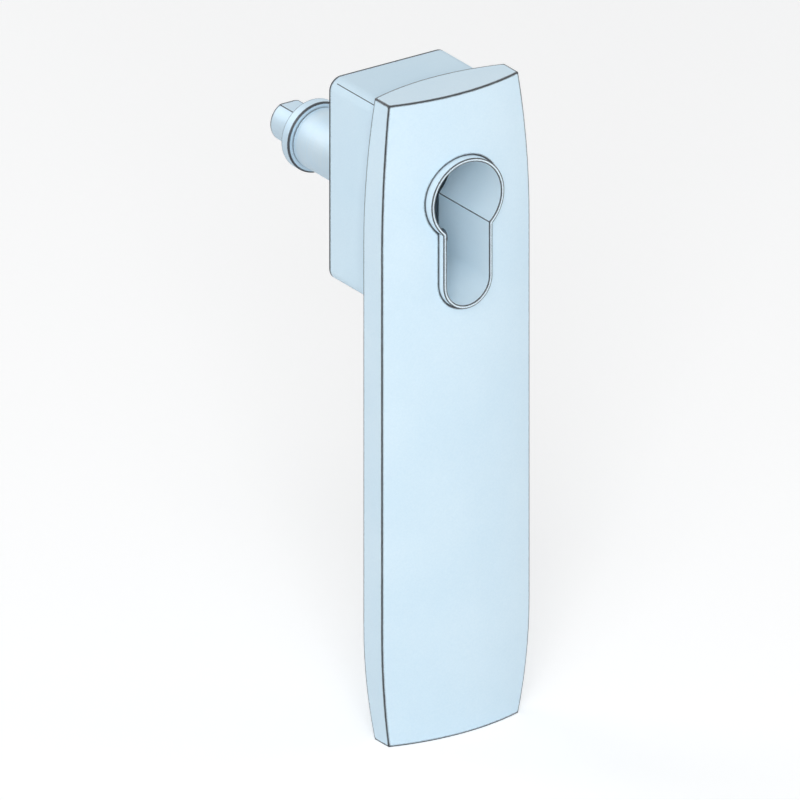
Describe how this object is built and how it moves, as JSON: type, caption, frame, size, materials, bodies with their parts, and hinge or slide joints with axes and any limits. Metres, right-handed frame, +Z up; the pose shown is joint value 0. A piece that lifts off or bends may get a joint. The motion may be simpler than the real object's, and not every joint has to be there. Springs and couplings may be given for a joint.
{
  "type": "enclosure handle",
  "caption": "Lockable turn handle for an enclosure door: crowned lever, profile cylinder opening, box housing, and a spindle with one flat in a collared bush.",
  "frame": {"origin": "on the spindle axis, in the plane of the door's outer face, where the bush's gasket sits on the door", "axes": "+Y along the spindle into the enclosure, +Z up along the lever at rest, +X to the right seen from the front"},
  "size_m": [0.0384, 0.069, 0.15],
  "materials": {
    "shell": "fine moulded grain, pale blue",
    "trim": "smooth moulded, pale blue",
    "zinc": "zinc plated, blue passivated",
    "spring_steel": "phosphated spring steel",
    "seal": "moulded rubber",
    "polymer": "natural acetal"
  },
  "bodies": {
    "bearing": {"bearing_bush": "zinc", "door_gasket": "seal", "bush_o_ring": "seal", "thrust_washer": "polymer", "index_plate": "zinc", "bush_circlip": "spring_steel", "retaining_collar": "zinc"},
    "handle": {"lever_shell": "shell", "back_cover": "shell", "back_cover_screws": "zinc", "cylinder_sleeve": "trim", "housing": "shell", "housing_seal": "seal", "rear_cover": "shell", "housing_screws": "zinc", "cylinder_screw": "zinc", "drive_plate": "zinc", "drive_plate_screws": "zinc", "spindle": "zinc", "spindle_circlip": "spring_steel", "spindle_o_ring": "seal", "stop_pin": "spring_steel", "guide_pins": "spring_steel", "slide_spring": "spring_steel"},
    "slide": {"lock_slide": "zinc"}
  },
  "joints": [
    {"name": "lever_turn", "type": "hinge", "parent": "bearing", "child": "handle", "pos_m": [0, 0, 0], "axis": [0, 1, 0], "range_deg": [0, 90]},
    {"name": "lock_throw", "type": "slide", "parent": "handle", "child": "slide", "axis": [0, 0, -1], "range_m": [0, 0.003]}
  ]
}
